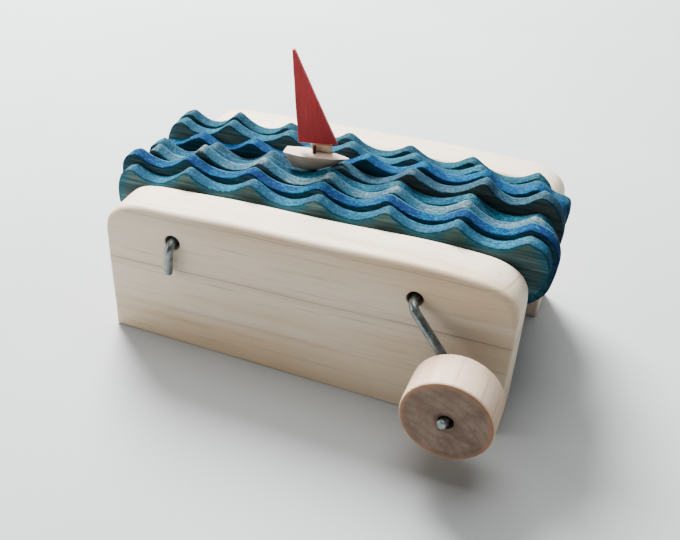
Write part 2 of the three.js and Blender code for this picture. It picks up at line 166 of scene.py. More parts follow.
# The loaf-shaped top of an end plate from its left side to its right, as (along, up) in mm.
PLATE_TOP = ((-50, 29), (-49.3, 32.6), (-46.2, 35.7), (-41.4, 37.2), (-33, 37.8), (-17.4, 38.7),
             (0, 39.35), (19.5, 40.2), (28, 40.4), (36, 40.3), (42.6, 39.8), (47.2, 37.9),
             (49.5, 34.6), (50, 30))
BOAT_BOARD = 5
BOAT_ALONG = -8.3
DECK_LEVEL = 43.6
HULL_LENGTH = 16.5
HULL_BEAM = 5.3
HULL_DEPTH = 4.2
SAIL_FOOT = 9.8
SAIL_HEIGHT = 23.6
SAIL_THICK = 1.2
SAIL_AHEAD = 0.1
SAIL_LEAN = -1.2
SAIL_BACK = 1.3
SAIL_TIP = 0.6
HULL_YAW = math.radians(4)
SAIL_YAW = math.radians(8.5)
BLOCK = (5.0, 1.6, 1.8)
BLOCK_PLACE = (0.7, 1.75)
# Glue gaps, in mm: under the hull, under the block and under the sail.
HULL_GAP = 0.35
GLUE_GAP = 0.3
# Growth lines over an end plate: (height at its middle, slope, half width, strength) in metres.
FRONT_LINES = ((0.0187, 0.038, 0.00022, 0.85), (0.0326, 0.040, 0.00030, 0.55),
               (0.0062, 0.036, 0.00020, 0.30))
BACK_LINES = ((0.0210, -0.020, 0.00022, 0.6), (0.0335, -0.028, 0.00026, 0.4),
              (0.0120, -0.010, 0.00022, 0.3))
BASE_LINES = ((0.004, 0.02, 0.0002, 0.4),)
KNOB_BORE = 0.0016
KNOB_SEGMENTS = 112
# Colours of what no setting changes.
# Painted shade in the wire holes of the end plates.
PLATE_BORE_SHADE = (0.035, 0.022, 0.015)
# Painted shade in the knob's bore.
KNOB_BORE_SHADE = (0.030, 0.020, 0.014)
KNOB_RIM_BROWN = (0.34, 0.165, 0.085)
DOWEL_WOOD = (0.60, 0.45, 0.32)
DOWEL_DARK = (0.25, 0.15, 0.10)
BLOCK_WOOD = (0.62, 0.44, 0.31)
FLOOR_TONES = ((0.400, 0.407, 0.407), (0.430, 0.438, 0.438))
ROOM_TINT = (0.86, 0.91, 0.96, 1.0)
ROOM_STRENGTH = 0.15
# Each lamp: name, place, size, power and tint.
LAMPS = (
    ("window", (-0.33, 0.38, 0.50), 0.36, 32.0, (0.98, 1.0, 1.0)),
    ("left fill", (-0.24, -0.15, 0.11), 0.16, 0.34, (1.0, 0.95, 0.88)),
    ("overhead", (-0.04, 0.12, 0.70), 0.60, 5.4, (0.97, 1.0, 1.0)),
)
LAMP_AIM = Vector((0, 0, 0.03))


# ---- what a user may change ------------------------------------------------------
def swatch(name, description, default):
    return FloatVectorProperty(name=name, description=description, subtype="COLOR", size=3,
                               min=0, max=1, default=default)


def measure(name, description, default, least):
    return FloatProperty(name=name, description=description, default=default, min=least,
                         unit="LENGTH")


class PlateSettings(bpy.types.PropertyGroup):
    length: measure("Length", "Length of an end plate", 0.100, 0.01)
    edge_rounding: measure(
        "Edge Rounding", "How far the front and back edges are sanded over", 0.0013, 0.0001)
    hole: measure("Wire Hole", "Diameter of the oversize holes for the wires", 0.0036, 0.001)
    wood: swatch("Wood", "Colour of the pale wood", (0.700, 0.595, 0.460))
    dark_wood: swatch(
        "Growth Lines", "Colour of the thin dark growth lines", (0.300, 0.185, 0.125))


class WaveSettings(bpy.types.PropertyGroup):
    sharpness: FloatProperty(
        name="Crest Sharpness", description="How tight the crests are against the round troughs",
        default=0.42, min=0, max=0.8, subtype="FACTOR")
    points: IntProperty(
        name="Points per Wave", description="Outline points for one wave", default=26, min=8, max=80)
    edge_rounding: measure("Edge Rounding", "How far the sawn edges are eased", 0.00034, 0.00005)
    hole: measure("Hole", "Diameter of the holes that the cranks run through", 0.006, 0.001)
    soak_depth: measure(
        "Soak Depth", "How far the sawn edge's stain soaked into the faces", 0.0034, 0.0002)
    wobble: measure("Hand Wobble", "How far the saw strayed from the line", 0.00014, 0)


class BoatSettings(bpy.types.PropertyGroup):
    hull_wood: swatch("Hull Wood", "Colour of the bare hull", (0.540, 0.410, 0.320))
    sail_red: swatch("Sail Red", "Colour of the stained sail", (0.400, 0.020, 0.027))
    # The edge colour stands for wear and also for a painted highlight on the sail's rims.
    sail_edge: swatch("Sail Edge", "Colour of the sail's worn edges", (0.560, 0.080, 0.090))
    roundness: measure(
        "Edge Rounding", "How far the boat's edges are sanded over", 0.00030, 0.00002)


class CrankSettings(bpy.types.PropertyGroup):
    zinc: swatch("Zinc", "Colour of the galvanised wire", (0.270, 0.315, 0.310))
    knob_side: swatch("Knob Side", "Colour of the knob's long grain", (0.600, 0.445, 0.325))
    knob_end: swatch("Knob End Grain", "Colour of the knob's end grain", (0.175, 0.116, 0.084))
    knob_chamfer: measure("Knob Chamfer", "Width of the knob's eased rims", 0.0008, 0.0001)


class StageSettings(bpy.types.PropertyGroup):
    lens: FloatProperty(
        name="Lens", description="Focal length of the camera on a 36 mm wide sensor, in millimetres",
        default=48.7, min=10)
    view_turn: FloatProperty(
        name="View Turn", description="How far the camera stands round to the right",
        default=math.radians(19.13), subtype="ANGLE")
    view_rise: FloatProperty(
        name="View Rise", description="How far the camera looks down",
        default=math.radians(35.25), subtype="ANGLE")
    view_roll: FloatProperty(
        name="View Roll", description="How far the camera is rolled",
        default=math.radians(-3.17), subtype="ANGLE")
    camera_place: FloatVectorProperty(
        name="Camera Place", description="Where the camera stands", subtype="TRANSLATION", size=3,
        default=(0.06396, -0.18520, 0.15082), unit="LENGTH")


# ---- small helpers ------------------------------------------------------------------
def shown_object(name, bm, materials):
    mesh = bpy.data.meshes.new(name)
    bm.to_mesh(mesh)
    bm.free()
    for material in materials:
        mesh.materials.append(material)
    piece = bpy.data.objects.new(name, mesh)
    bpy.context.scene.collection.objects.link(piece)
    return piece


def settle(piece, node):
    """Puts a finished piece on the body of the node it stands for, and hides the node."""
    body = frame["nodes"][node]["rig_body"]
    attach(piece, body)
    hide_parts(node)


def start_ring(bm, points):
    verts = [bm.verts.new(point) for point in points]
    edges = [bm.edges.new((verts[n - 1], verts[n])) for n in range(len(verts))]
    return verts, edges


def grow_ring(bm, ring, points, smooth=True, material=0):
    """Extrudes a closed ring of edges and puts the new ring at the given points."""
    verts, edges = ring
    grown = bmesh.ops.extrude_edge_only(bm, edges=edges)["geom"]
    new_verts = {item for item in grown if isinstance(item, bmesh.types.BMVert)}
    moved = []
    for vert, point in zip(verts, points):
        partner = next(edge.other_vert(vert) for edge in vert.link_edges
                       if edge.other_vert(vert) in new_verts)
        partner.co = point
        moved.append(partner)
    new_edges = [item for item in grown if isinstance(item, bmesh.types.BMEdge)
                 and item.verts[0] in new_verts and item.verts[1] in new_verts]
    for item in grown:
        if isinstance(item, bmesh.types.BMFace):
            item.smooth = smooth
            item.material_index = material
    return moved, new_edges


def fill_rings(bm, rings, material=0):
    """Closes the flat area between an outer ring and any inner rings."""
    edges = [edge for ring in rings for edge in ring[1]]
    made = bmesh.ops.triangle_fill(bm, edges=edges, use_beauty=True)["geom"]
    for item in made:
        if isinstance(item, bmesh.types.BMFace):
            item.smooth = False
            item.material_index = material


def inset_outline(outline, distances):
    """Moves a closed counter-clockwise outline of (x, z) points inwards."""
    moved = []
    count = len(outline)
    for n in range(count):
        before = Vector(outline[n - 1])
        after = Vector(outline[(n + 1) % count])
        run = (after - before).normalized()
        moved.append((outline[n][0] - run.y * distances[n], outline[n][1] + run.x * distances[n]))
    return moved


def at_depth(outline, y):
    return [(x, y, z) for x, z in outline]


def circle_outline(x, z, radius, count=28):
    return [(x + radius * math.cos(2 * math.pi * n / count),
             z + radius * math.sin(2 * math.pi * n / count)) for n in range(count)]


def sanded_slab(bm, outline, y_front, y_back, rounding, holes=(), hole_easing=0.0003,
                edge_material=0, steps=5, inner=None, marks=None):
    """A board with the given outline, its two long edges sanded round, and round holes.

    rounding is one radius, or one for each point. inner is a smaller outline drawn on both
    faces. marks are named numbers for each point, kept on the mesh for the stain.
    """
    radii = rounding if isinstance(rounding, list) else [rounding] * len(outline)
    layers = [(bm.verts.layers.float.new(name), values) for name, values in (marks or {}).items()]
    rim = bm.verts.layers.float.new("rim")

    def mark(ring, on_rim):
        for layer, values in layers:
            for vert, value in zip(ring[0], values):
                vert[layer] = value
        for vert in ring[0]:
            vert[rim] = on_rim

    def points_at(share_in, share_deep, front):
        placed = inset_outline(outline, [radius * share_in for radius in radii])
        return [(x, y_front + radius * share_deep if front else y_back - radius * share_deep, z)
                for (x, z), radius in zip(placed, radii)]

    angles = [math.pi / 2 * n / steps for n in range(steps + 1)]
    rows = [(1 - math.sin(angle), 1 - math.cos(angle), True) for angle in angles]
    rows += [(1 - math.sin(angle), 1 - math.cos(angle), False) for angle in reversed(angles)]
    if inner:
        ring = start_ring(bm, at_depth(inner, y_front))
        mark(ring, 0.0)
        front = [ring]
        ring = grow_ring(bm, ring, points_at(*rows[0]), smooth=False)
    else:
        ring = start_ring(bm, points_at(*rows[0]))
        front = [ring]
    mark(ring, 1.0)
    for row in rows[1:]:
        ring = grow_ring(bm, ring, points_at(*row), material=edge_material)
        mark(ring, 1.0)
    if inner:
        ring = grow_ring(bm, ring, at_depth(inner, y_back), smooth=False)
        mark(ring, 0.0)
    back = [ring]
    for x, z, radius in holes:
        hole = start_ring(bm, at_depth(circle_outline(x, z, radius + hole_easing), y_front))
        front.append(hole)
        for grow, y in ((0, y_front + hole_easing), (0, y_back - hole_easing),
                        (hole_easing, y_back)):
            hole = grow_ring(bm, hole, at_depth(circle_outline(x, z, radius + grow), y),
                             material=edge_material)
        back.append(hole)
    fill_rings(bm, front)
    fill_rings(bm, back)
    bmesh.ops.recalc_face_normals(bm, faces=bm.faces)


def keep_inside(bm, node):
    """Keeps every point within the box of the part it stands for."""
    low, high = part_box(node)
    for vert in bm.verts:
        for axis in range(3):
            vert.co[axis] = min(max(vert.co[axis], low[axis]), high[axis])


def hand_wobble(bm, amount, scale, seed):
    """Strays every point a little, the same way for neighbours and on every run."""
    noise.seed_set(seed)
    shift = Vector((seed * 7.31, seed * 3.17, seed * 5.73))
    for vert in bm.verts:
        stray = noise.noise_vector(vert.co * scale + shift)
        vert.co += stray * amount


def shade_smooth(bm):
    for face in bm.faces:
        face.smooth = True


def merged_copy(node):
    bm = bmesh.new()
    bm.from_mesh(frame["nodes"][node].data)
    bmesh.ops.remove_doubles(bm, verts=bm.verts, dist=1e-6)
    shade_smooth(bm)
    return bm


def eased_block(size, middle, easing):
    """A box with its edges sanded over."""
    bm = bmesh.new()
    bmesh.ops.create_cube(bm, size=1)
    bmesh.ops.scale(bm, verts=bm.verts, vec=size)
    bmesh.ops.translate(bm, verts=bm.verts, vec=middle)
    bmesh.ops.bevel(bm, geom=bm.edges, offset=easing, segments=3, profile=0.5, affect="EDGES",
                    material=-1)
    return bm


def round_off(piece, width, segments, angle):
    bevel = piece.modifiers.new("eased edges", "BEVEL")
    bevel.width = width
    bevel.segments = segments
    bevel.limit_method = "ANGLE"
    bevel.angle_limit = math.radians(angle)
    bevel.harden_normals = False


def subdivide(piece, levels):
    modifier = piece.modifiers.new("subdivision", "SUBSURF")
    modifier.levels = levels
    modifier.render_levels = levels


# ---- node helpers ---------------------------------------------------------------------
class Graph:
    """Builds one material's nodes with short calls."""

    def __init__(self, name):
        self.material = bpy.data.materials.new(name)
        self.material.use_nodes = True
        self.tree = self.material.node_tree
        self.tree.nodes.clear()
        self.output = self.node("ShaderNodeOutputMaterial")
        self.shader = self.node("ShaderNodeBsdfPrincipled")
        self.link(self.shader.outputs["BSDF"], self.output.inputs["Surface"])
        self.place = self.node("ShaderNodeTexCoord").outputs["Object"]

    def node(self, kind, **settings):
        made = self.tree.nodes.new(kind)
        for key, value in settings.items():
            setattr(made, key, value)
        return made

    def link(self, source, target):
        self.tree.links.new(source, target)

    def feed(self, socket, value):
        if isinstance(value, bpy.types.NodeSocket):
            self.link(value, socket)
        else:
            socket.default_value = value

    def math(self, operation, a, b=0.0):
        made = self.node("ShaderNodeMath", operation=operation)
        for socket, value in zip(made.inputs, (a, b)):
            self.feed(socket, value)
        return made.outputs[0]

    def length(self, vector):
        made = self.node("ShaderNodeVectorMath", operation="LENGTH")
        self.link(vector, made.inputs[0])
        return made.outputs["Value"]

    def dot(self, vector, direction):
        made = self.node("ShaderNodeVectorMath", operation="DOT_PRODUCT")
        self.feed(made.inputs[0], vector)
        made.inputs[1].default_value = direction
        return made.outputs["Value"]

    def mark(self, name):
        return self.node("ShaderNodeAttribute", attribute_name=name).outputs["Fac"]

    def moved(self, offset=(0, 0, 0), turn=(0, 0, 0), scale=(1, 1, 1), vector=None):
        made = self.node("ShaderNodeMapping")
        made.inputs["Location"].default_value = offset
        made.inputs["Rotation"].default_value = turn
        made.inputs["Scale"].default_value = scale
        self.link(vector or self.place, made.inputs["Vector"])
        return made.outputs[0]

    def noise(self, vector, scale=1.0, detail=4.0, roughness=0.55, distortion=0.0):
        made = self.node("ShaderNodeTexNoise")
        self.link(vector, made.inputs["Vector"])
        made.inputs["Scale"].default_value = scale
        made.inputs["Detail"].default_value = detail
        made.inputs["Roughness"].default_value = roughness
        made.inputs["Distortion"].default_value = distortion
        return made.outputs[0]

    def ramp(self, value, low, high, from_value=0.0, to_value=1.0):
        made = self.node("ShaderNodeMapRange", interpolation_type="SMOOTHSTEP")
        self.feed(made.inputs["Value"], value)
        made.inputs["From Min"].default_value = low
        made.inputs["From Max"].default_value = high
        made.inputs["To Min"].default_value = from_value
        made.inputs["To Max"].default_value = to_value
        return made.outputs[0]

    def mix(self, factor, a, b):
        made = self.node("ShaderNodeMix", data_type="RGBA")
        self.feed(made.inputs[0], factor)
        for socket, value in ((made.inputs[6], a), (made.inputs[7], b)):
            self.feed(socket, (*value, 1.0) if isinstance(value, tuple) else value)
        return made.outputs[2]

    def bump(self, height, strength, distance):
        made = self.node("ShaderNodeBump")
        made.inputs["Strength"].default_value = strength
        made.inputs["Distance"].default_value = distance
        self.link(height, made.inputs["Height"])
        return made.outputs[0]

    def finish(self, colour, roughness, normal=None, metallic=0.0, specular=0.4):
        self.feed(self.shader.inputs["Base Color"], colour)
        self.feed(self.shader.inputs["Roughness"], roughness)
        self.shader.inputs["Metallic"].default_value = metallic
        self.shader.inputs["Specular IOR Level"].default_value = specular
        if normal is not None:
            self.link(normal, self.shader.inputs["Normal"])
        return self.material


def colour(values):
    return tuple(values)[:3]


def tinted(base, *factors):
    """The colour with each channel scaled by its own factor, none past white."""
    return tuple(min(1.0, channel * factor) for channel, factor in zip(base, factors))


# ---- finishes ---------------------------------------------------------------------------
def pale_wood(name, wood, dark, lines, shift=0.0, contrast=1.0):
    """Pale sanded board: long fibres, faint bands, pores and a few thin growth lines.

    lines holds (height at the middle, slope, half width, strength) in metres.
    """
    g = Graph(name)
    turned = g.moved(offset=(shift, shift * 0.7, 0), turn=(0, 0.035, 0))
    fibres = g.noise(g.moved(scale=(45, 1300, 1300), vector=turned), detail=5, roughness=0.62)
    silk = g.noise(g.moved(scale=(140, 3200, 3200), vector=turned), detail=3, roughness=0.5)
    bands = g.noise(g.moved(scale=(6, 85, 85), vector=turned), detail=3, distortion=0.6)
    clouds = g.noise(g.moved(scale=(22, 40, 40), vector=turned), detail=2)
    warm = tinted(wood, 0.90, 0.80, 0.68)
    light = tinted(wood, 1.05, 1.06, 1.08)
    base = g.mix(g.ramp(bands, 0.40, 0.60), wood, warm)
    base = g.mix(g.ramp(clouds, 0.40, 0.75, 0.0, 0.7), base, light)
    base = g.mix(g.ramp(fibres, 0.50, 0.78, 0.0, 0.42 * contrast), base, dark)
    base = g.mix(g.ramp(silk, 0.54, 0.80, 0.0, 0.22 * contrast), base, dark)
    waver = g.noise(g.moved(scale=(34, 60, 60), vector=turned), detail=2)
    waver = g.math("MULTIPLY", g.math("SUBTRACT", waver, 0.5), 0.0012)
    for height, slope, width, strength in lines:
        level = g.math("ADD", g.dot(g.place, (-slope, 0.16, 1.0)), waver)
        away = g.math("ABSOLUTE", g.math("SUBTRACT", level, height))
        fade = g.noise(g.moved(scale=(60, 200, 200), vector=turned), detail=2)
        fade = g.ramp(fade, 0.25, 0.6, 0.45, 1.0)
        mark = g.math("MULTIPLY", g.ramp(away, 0.0, width, strength, 0.0), fade)
        base = g.mix(mark, base, dark)
        halo = g.ramp(away, 0.0, width * 9, strength * 0.24, 0.0)
        base = g.mix(halo, base, dark)
    # Painted shade on the rims and walls of the two wire holes.
    for axis in (IDLE_AXIS, DRIVE_AXIS):
        radius = g.length(g.moved(offset=(-axis.x, 0, -axis.z), scale=(1, 0, 1)))
        base = g.mix(g.ramp(radius, 0.00175, 0.0021, 0.9, 0.0), base, PLATE_BORE_SHADE)
    pores = g.noise(g.moved(scale=(420, 2600, 2600), vector=turned), detail=1)
    base = g.mix(g.ramp(pores, 0.71, 0.80, 0.0, 0.45 * contrast), base, dark)
    height = g.math("ADD", g.math("MULTIPLY", fibres, 0.7), g.math("MULTIPLY", silk, 0.3))
    normal = g.bump(height, 0.22, 0.00012)
    roughness = g.ramp(fibres, 0.3, 0.8, 0.52, 0.68)
    return g.finish(base, roughness, normal, specular=0.32)


def stained_board(name, spec, number, sawn_edge):
    """Stained board: the flat face, or the sawn wave edge with its crests and troughs."""
    g = Graph(name)
    seed = number * 0.137 + (0.05 if sawn_edge else 0.0)
    low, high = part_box(f"wave_board_{number}")
    crest_mark, slope_mark, rim_mark = g.mark("crest"), g.mark("slope"), g.mark("rim")
    turned = g.moved(offset=(seed, seed * 0.31, seed * 0.17), turn=(0, STACK_TILT, 0))
    fibres = g.noise(g.moved(scale=(70, 1500, 1500), vector=turned), detail=6, roughness=0.68)
    streaks = g.noise(g.moved(scale=(24, 430, 430), vector=turned), detail=4, roughness=0.6)
    patches = g.noise(g.moved(scale=(170, 230, 230), vector=turned), detail=5, roughness=0.62)
    specks = g.noise(g.moved(scale=(1300, 1900, 2100), vector=turned), detail=3, roughness=0.7)
    trough, crest, face, ink_and_shade = spec["trough"], spec["crest_top"], spec["face"], spec["ink_and_shade"]
    pale = tuple(0.8 * channel + part for channel, part in zip(trough, (0.040, 0.095, 0.120)))
    if sawn_edge:
        ragged = g.math("MULTIPLY", g.math("SUBTRACT", patches, 0.5), 2.6)
        on_crest = g.ramp(g.math("ADD", crest_mark, ragged), 0.0, 1.3)
        tone = g.mix(on_crest, trough, crest)
        # Painted shade: slopes and ends that face right, away from the light, darkened towards the ink
        # colour.
        away = g.math("ADD", slope_mark, g.math("MULTIPLY", ragged, 0.6))
        tone = g.mix(g.ramp(away, 0.0, 0.85, 0.0, 0.88), tone, ink_and_shade)
        tone = g.mix(g.ramp(patches, 0.47, 0.60, 0.0, 0.66), tone, ink_and_shade)
        tone = g.mix(g.ramp(streaks, 0.48, 0.60, 0.0, 0.62), tone, ink_and_shade)
        tone = g.mix(g.ramp(specks, 0.46, 0.54, 0.0, 0.85), tone, ink_and_shade)
        across = g.math("MULTIPLY", g.math("SUBTRACT", g.dot(g.place, (0, 1, 0)), low.y),
                        1 / (high.y - low.y))
        line = g.ramp(g.math("ADD", across, g.math("MULTIPLY", ragged, 0.12)), 0.80, 0.96, 0.0,
                      spec["back_line"])
        tone = g.mix(line, tone, pale)
        tone = g.mix(g.ramp(fibres, 0.54, 0.66, 0.0, 0.30), tone, pale)
        tone = g.mix(g.ramp(specks, 0.35, 0.44, 0.34, 0.0), tone, pale)
        fuzz = g.math("ADD", g.math("MULTIPLY", specks, 0.9), g.math("MULTIPLY", fibres, 0.8))
        normal = g.bump(fuzz, 0.85, 0.00028)
        return g.finish(tone, g.ramp(specks, 0.3, 0.8, 0.86, 0.98), normal, specular=0.03)
    reach = g.math("ADD", rim_mark, g.math("MULTIPLY", g.math("SUBTRACT", patches, 0.5), 1.7))
    soaked = g.ramp(reach, 0.10, 1.00, 0.0, spec["soak"])
    band = g.mix(g.ramp(g.math("ADD", crest_mark, g.math("MULTIPLY", streaks, 0.8)), 0.3, 1.3),
                 trough, crest)
    tone = g.mix(soaked, face, band)
    dark = tuple(channel * 0.36 for channel in face)
    tone = g.mix(g.ramp(fibres, 0.48, 0.62, 0.0, 0.62), tone, dark)
    tone = g.mix(g.ramp(streaks, 0.46, 0.68, 0.0, 0.40), tone, dark)
    lighter = tuple(min(1.0, channel * 2.0 + 0.02) for channel in face)
    tone = g.mix(g.ramp(fibres, 0.36, 0.48, 0.45, 0.0), tone, lighter)
    tone = g.mix(g.math("MULTIPLY", g.ramp(specks, 0.26, 0.42, 0.55, 0.0), soaked), tone, pale)
    normal = g.bump(g.math("ADD", fibres, g.math("MULTIPLY", specks, 0.3)), 0.50, 0.00018)
    return g.finish(tone, g.ramp(streaks, 0.3, 0.8, 0.75, 0.9), normal, specular=0.08)


def zinc_wire(name, zinc):
    g = Graph(name)
    spangle = g.noise(g.place, scale=520, detail=4, roughness=0.6)
    drawn = g.noise(g.moved(scale=(3800, 260, 3800)), detail=3)
    dull = tuple(channel * 0.55 for channel in zinc)
    bright = tuple(min(1.0, channel * 1.35) for channel in zinc)
    tone = g.mix(g.ramp(spangle, 0.38, 0.66), dull, zinc)
    tone = g.mix(g.ramp(drawn, 0.52, 0.72, 0.0, 0.5), tone, bright)
    grime = g.noise(g.place, scale=1400, detail=2)
    tone = g.mix(g.ramp(grime, 0.60, 0.74, 0.0, 0.5), tone, (0.10, 0.10, 0.09))
    normal = g.bump(g.math("ADD", drawn, spangle), 0.18, 0.00008)
    return g.finish(tone, g.ramp(spangle, 0.3, 0.7, 0.30, 0.52), normal, metallic=0.9, specular=0.5)


def dark_pin(name):
    g = Graph(name)
    spots = g.noise(g.place, scale=1500, detail=3)
    tone = g.mix(g.ramp(spots, 0.35, 0.7), (0.035, 0.028, 0.024), (0.13, 0.085, 0.055))
    return g.finish(tone, g.ramp(spots, 0.3, 0.7, 0.35, 0.6), g.bump(spots, 0.2, 0.00006),
                    metallic=0.8, specular=0.5)


def knob_long_grain(name, wood):
    g = Graph(name)
    place = g.moved(offset=(-KNOB_AXIS.x, 0, -KNOB_AXIS.z))
    fibres = g.noise(g.moved(scale=(950, 60, 950), vector=place), detail=5, roughness=0.6)
    bands = g.noise(g.moved(scale=(150, 12, 150), vector=place), detail=2)
    warm = tinted(wood, 0.86, 0.78, 0.70)
    dark = tinted(wood, 0.52, 0.42, 0.36)
    tone = g.mix(g.ramp(bands, 0.38, 0.68), wood, warm)
    tone = g.mix(g.ramp(fibres, 0.50, 0.70, 0.0, 0.45), tone, dark)
    radius = g.length(g.moved(scale=(1, 0, 1), vector=place))
    # Painted shade on the wall of the bore.
    tone = g.mix(g.ramp(radius, 0.0017, 0.0022, 0.95, 0.0), tone, KNOB_BORE_SHADE)
    return g.finish(tone, g.ramp(fibres, 0.3, 0.8, 0.55, 0.70), g.bump(fibres, 0.25, 0.00012),
                    specular=0.25)


def knob_end_grain(name, wood, rim):
    """End grain: growth rings off to one side, radial flecks, saw marks and a browned rim."""
    g = Graph(name)
    place = g.moved(offset=(-KNOB_AXIS.x, 0, -KNOB_AXIS.z))
    radius = g.length(g.moved(scale=(1, 0, 1), vector=place))
    from_pith = g.length(g.moved(offset=(0.0085, 0, 0.0125), scale=(1, 0, 1), vector=place))
    waver = g.noise(g.moved(scale=(130, 0, 130), vector=place), detail=2)
    ring_place = g.math("ADD", from_pith, g.math("MULTIPLY", waver, 0.0012))
    rings = g.math("SINE", g.math("MULTIPLY", ring_place, 2 * math.pi / 0.0021))
    grit = g.noise(g.moved(scale=(1400, 0, 1400), vector=place), detail=4, roughness=0.7)
    saw = g.moved(turn=(0, math.radians(-38), 0), scale=(160, 0, 1500), vector=place)
    saw = g.noise(saw, detail=3)
    clouds = g.noise(g.moved(scale=(190, 0, 190), vector=place), detail=3)
    dark = tinted(wood, 0.55, 0.52, 0.52)
    light = tinted(wood, 1.35, 1.42, 1.50)
    tone = g.mix(g.ramp(clouds, 0.35, 0.70), wood, light)
    tone = g.mix(g.ramp(rings, 0.1, 1.0, 0.0, 0.22), tone, dark)
    smear = g.moved(turn=(0, math.radians(52), 0), scale=(95, 0, 260), vector=place)
    smear = g.noise(smear, detail=4, roughness=0.6)
    tone = g.mix(g.ramp(smear, 0.50, 0.66, 0.0, 0.50), tone, dark)
    tone = g.mix(g.ramp(grit, 0.50, 0.75, 0.0, 0.55), tone, dark)
    tone = g.mix(g.ramp(saw, 0.55, 0.75, 0.0, 0.35), tone, light)
    rim_start = g.math("ADD", radius, g.math("MULTIPLY", g.math("SUBTRACT", clouds, 0.5), 0.0012))
    tone = g.mix(g.ramp(rim_start, 0.0086, 0.0100, 0.0, 0.75), tone, rim)
    # Darker within a few millimetres of the bore, then painted shade at the bore's mouth.
    tone = g.mix(g.ramp(radius, 0.0016, 0.0032, 0.8, 0.0), tone, dark)
    tone = g.mix(g.ramp(radius, 0.0017, 0.0020, 0.9, 0.0), tone, KNOB_BORE_SHADE)
    height = g.math("ADD", grit, g.math("MULTIPLY", saw, 0.8))
    return g.finish(tone, g.ramp(grit, 0.3, 0.8, 0.62, 0.82), g.bump(height, 0.35, 0.00016),
                    specular=0.22)


def hull_wood(name, wood):
    g = Graph(name)
    place = g.moved(turn=(0, math.radians(5), math.radians(-4)))
    fibres = g.noise(g.moved(scale=(230, 2200, 2200), vector=place), detail=4, roughness=0.65)
    fuzz = g.noise(g.place, scale=2600, detail=3, roughness=0.7)
    bands = g.noise(g.moved(scale=(60, 380, 380), vector=place), detail=2)
    dark = tinted(wood, 0.50, 0.40, 0.34)
    pale = tuple(min(1.0, channel * 1.18 + 0.03) for channel in wood)
    tone = g.mix(g.ramp(bands, 0.38, 0.68), wood, pale)
    tone = g.mix(g.ramp(fibres, 0.50, 0.76, 0.0, 0.55), tone, dark)
    tone = g.mix(g.ramp(fuzz, 0.56, 0.76, 0.0, 0.30), tone, pale)
    height = g.math("ADD", fibres, g.math("MULTIPLY", fuzz, 0.7))
    return g.finish(tone, g.ramp(fuzz, 0.3, 0.8, 0.62, 0.80), g.bump(height, 0.45, 0.00014),
                    specular=0.25)


def sail_paint(name, red, edge, worn_and_lit):
    """Red stain on thin wood: upright fibres, tiny scuffs, and edges paler from wear and from a painted
    highlight.
    """
    g = Graph(name)
    upright = g.moved(turn=(0, math.radians(-4), 0), scale=(1700, 1700, 120))
    fibres = g.noise(upright, detail=5, roughness=0.65)
    blotches = g.noise(g.moved(scale=(170, 170, 70)), detail=3)
    scuffs = g.noise(g.moved(turn=(0, math.radians(38), 0), scale=(2600, 900, 420)), detail=2)
    dark = tuple(channel * 0.55 for channel in red)
    # On the edges the paler colour is wear plus a painted highlight.
    base = edge if worn_and_lit else red
    tone = g.mix(g.ramp(blotches, 0.36, 0.70, 0.0, 0.6), base, dark)
    tone = g.mix(g.ramp(fibres, 0.50, 0.76, 0.0, 0.55), tone, dark)
    tone = g.mix(g.ramp(scuffs, 0.74, 0.80, 0.0, 0.6), tone, (0.70, 0.30, 0.28))
    tone = g.mix(g.ramp(fibres, 0.22, 0.40, 0.28, 0.0), tone, edge)
    return g.finish(tone, g.ramp(fibres, 0.3, 0.8, 0.46, 0.66), g.bump(fibres, 0.35, 0.00014),
                    specular=0.35)


def stage_floor(name):
    g = Graph(name)
    soft = g.noise(g.place, scale=9, detail=2)
    tone = g.mix(g.ramp(soft, 0.3, 0.7), *FLOOR_TONES)
    return g.finish(tone, 0.9, specular=0.1)


# ---- pieces --------------------------------------------------------------------------------
def plate_outline(settings):
    """The loaf shape, counter-clockwise from the lower left corner."""
    half = settings.length / 2
    foot = 0.0006
    points = []
    for side in (-1, 1):
        for n in range(5):
            angle = math.pi / 2 * n / 4
            if side < 0:
                points.append((-half + foot - foot * math.cos(angle), foot - foot * math.sin(angle)))
            else:
                points.append((half - foot + foot * math.sin(angle), foot - foot * math.cos(angle)))
    shoulder = PLATE_TOP[-1][1] * MM
    for n in range(9):
        points.append((half, foot + (shoulder - foot) * (n + 1) / 10))
    top = [point * MM for point in catmull_rom([Vector(row) for row in PLATE_TOP], 7)]
    points += [tuple(point) for point in reversed(top)]
    for n in range(9):
        points.append((-half, PLATE_TOP[0][1] * MM * (1 - (n + 1) / 10)))
    return points


def end_plate(node, settings, lines, shift, seed):
    low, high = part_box(node)
    bm = bmesh.new()
    holes = [(axis.x, axis.z, settings.hole / 2) for axis in (IDLE_AXIS, DRIVE_AXIS)]
    outline = plate_outline(settings)
    rounding = []
    for x, z in outline:
        rise = min(1.0, max(0.0, (z - 0.029) / 0.008))
        side = min(1.0, max(0.0, z / 0.004))
        rounding.append(settings.edge_rounding * (0.3 + 0.35 * side + 0.8 * rise))
    sanded_slab(bm, outline, low.y, high.y, rounding, holes, hole_easing=0.00035, steps=6)
    hand_wobble(bm, 0.00022, 38.0, seed)
    keep_inside(bm, node)
    material = pale_wood(f"{node} wood", colour(settings.wood), colour(settings.dark_wood),
                         lines, shift)
    piece = shown_object(f"{node}_sanded", bm, [material])
    settle(piece, node)


